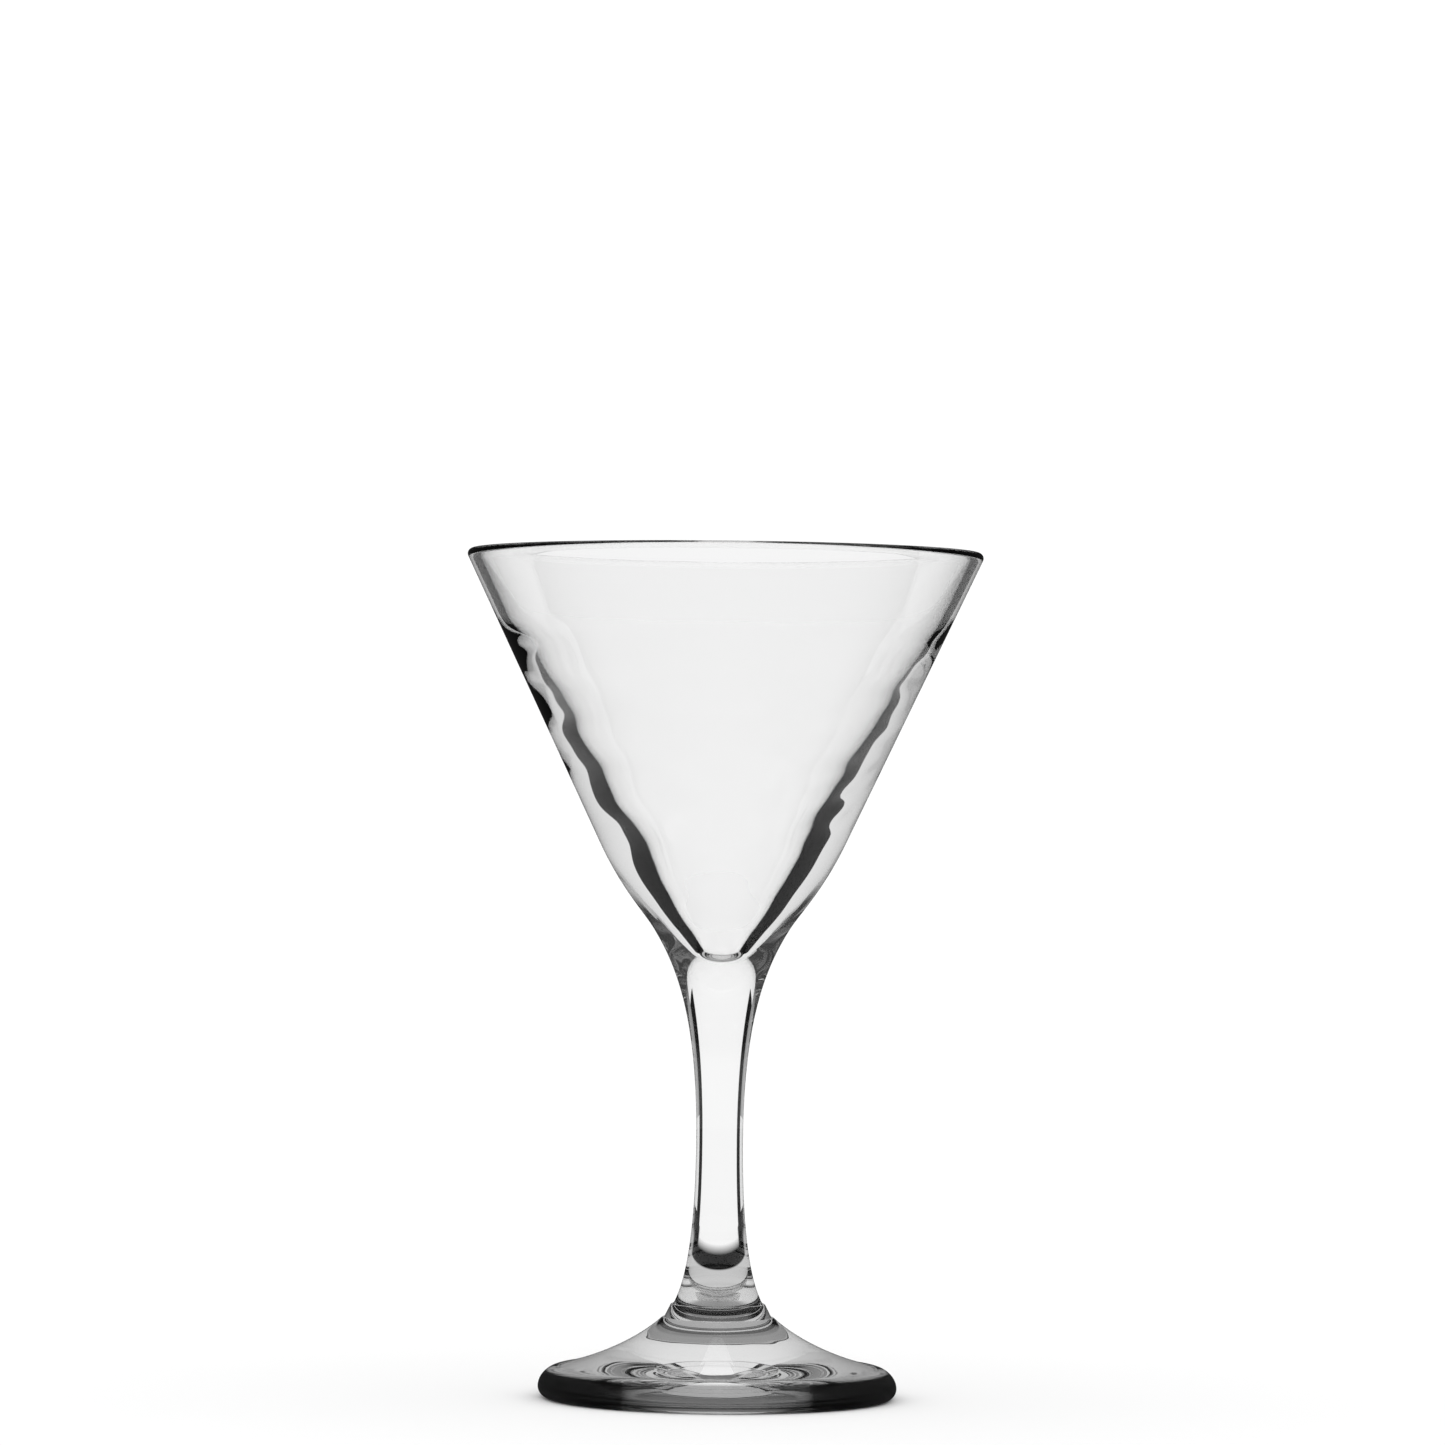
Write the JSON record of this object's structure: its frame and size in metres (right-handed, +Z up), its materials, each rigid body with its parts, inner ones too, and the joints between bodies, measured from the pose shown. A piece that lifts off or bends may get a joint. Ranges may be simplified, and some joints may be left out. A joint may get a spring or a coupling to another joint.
{
  "type": "martini glass",
  "caption": "Clear stemmed martini glass with a conical thick-bottomed bowl, a slender flared stem with a fine collar and a round disc foot.",
  "frame": {"origin": "on the axis of revolution, in the plane the foot rests on", "axes": "+Z up along the axis towards the rim; X and Y are equal because the glass is a body of revolution"},
  "size_m": [0.1048, 0.1048, 0.172],
  "materials": {
    "clear_glass": "gloss"
  },
  "bodies": {
    "root": {"bowl": "clear_glass", "stem": "clear_glass", "foot": "clear_glass"}
  },
  "joints": []
}
